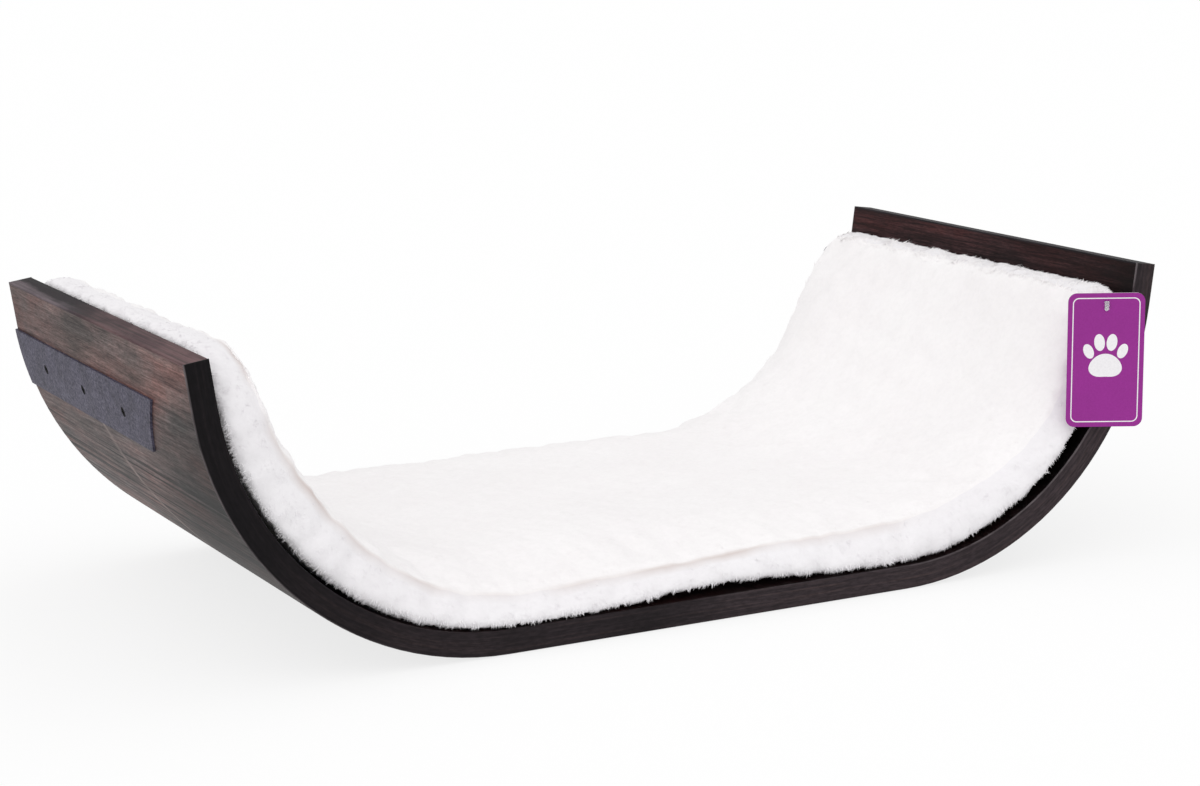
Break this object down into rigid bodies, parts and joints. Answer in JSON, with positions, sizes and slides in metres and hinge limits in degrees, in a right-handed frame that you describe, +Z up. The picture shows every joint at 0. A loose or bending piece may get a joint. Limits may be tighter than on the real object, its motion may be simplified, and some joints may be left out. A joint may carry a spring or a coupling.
{
  "type": "wall-mounted cat lounger",
  "caption": "Bent-plywood wall lounger for a cat: U-shaped dark veneered cradle with side wall brackets, a lift-out white plush cushion and a swinging hang tag.",
  "frame": {"origin": "centre of the flat underside of the cradle's floor", "axes": "+X to the right along the width, +Y to the wall, -Y to the room, +Z up"},
  "size_m": [0.7, 0.3779, 0.2071],
  "materials": {
    "dark_veneer": "satin lacquered dark veneer, grain along the depth",
    "dark_edge": "stained edge veneer, satin",
    "powder_coated_steel": "fine anthracite powder coat",
    "black_screw": "black oxide",
    "hook_tape": "black hook tape",
    "loop_tape": "white loop tape",
    "foam": "soft foam",
    "white_plush": "short white plush",
    "base_cloth": "plain woven cloth",
    "clear_nylon": "clear nylon",
    "purple_card": "coated purple card, white core"
  },
  "bodies": {
    "cradle": {"plywood_shell": "dark_veneer", "front_edge_band": "dark_edge", "rear_edge_band": "dark_edge", "left_end_band": "dark_edge", "right_end_band": "dark_edge", "left_wall_bracket": "powder_coated_steel", "right_wall_bracket": "powder_coated_steel", "left_bracket_screws": "black_screw", "right_bracket_screws": "black_screw", "left_hook_strip": "hook_tape", "right_hook_strip": "hook_tape", "floor_hook_strips": "hook_tape"},
    "cushion": {"cushion_foam": "foam", "cushion_top_panel": "white_plush", "cushion_gusset": "white_plush", "cushion_base_panel": "base_cloth", "left_loop_strip": "loop_tape", "right_loop_strip": "loop_tape", "floor_loop_strips": "loop_tape", "tag_pin": "clear_nylon"},
    "tag": {"hang_tag": "purple_card"}
  },
  "joints": [
    {"name": "cushion_lift", "type": "slide", "parent": "cradle", "child": "cushion", "axis": [0, 0, 1], "range_m": [0, 0.25]},
    {"name": "tag_swing", "type": "hinge", "parent": "cushion", "child": "tag", "pos_m": [0.29764, -0.18884, 0.17817], "axis": [-0.4695, -0.8829, 0], "range_deg": [-15, 75]}
  ]
}
